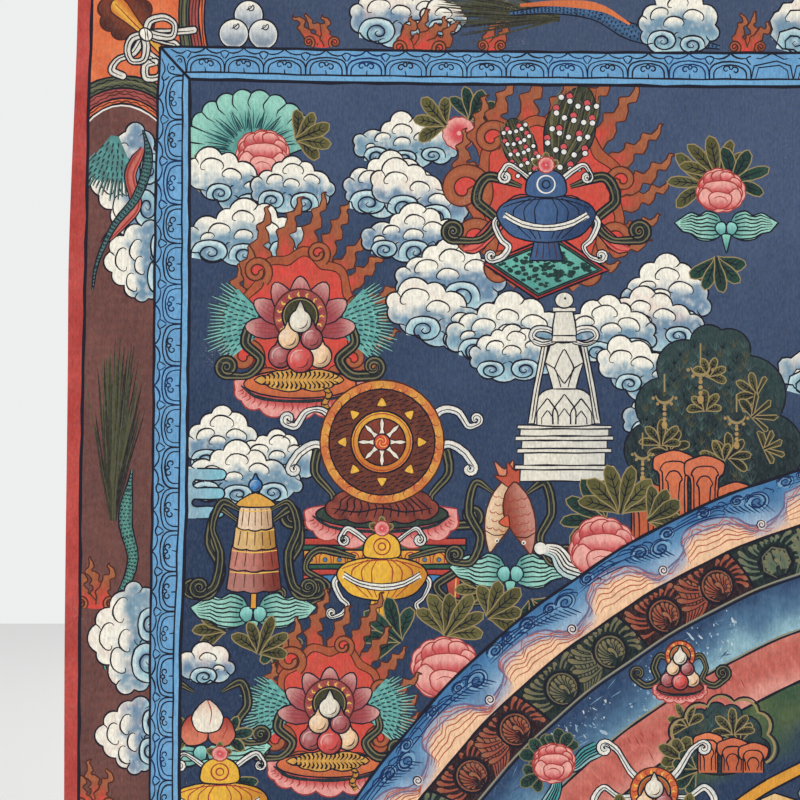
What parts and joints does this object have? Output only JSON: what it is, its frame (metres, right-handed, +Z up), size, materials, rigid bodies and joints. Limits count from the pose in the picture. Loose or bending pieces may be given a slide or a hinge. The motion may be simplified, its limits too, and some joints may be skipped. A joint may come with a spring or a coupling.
{
  "type": "thangka scroll painting",
  "caption": "Painted cotton cloth of a hanging scroll painting: an upright rectangle with painted borders, held along its flat top edge and hanging in soft waves.",
  "frame": {"origin": "middle of the cloth's top edge, halfway through its thickness", "axes": "+Z up, +X to the right of someone looking at the painting, -Y the way the painted face looks"},
  "size_m": [0.4649, 0.0057, 0.6177],
  "materials": {
    "painted_cotton": "matt mineral paint over a chalk and glue ground on plain-weave cotton; raw sized cotton on the back"
  },
  "bodies": {
    "root": {"painted_cloth": "painted_cotton"}
  },
  "joints": []
}
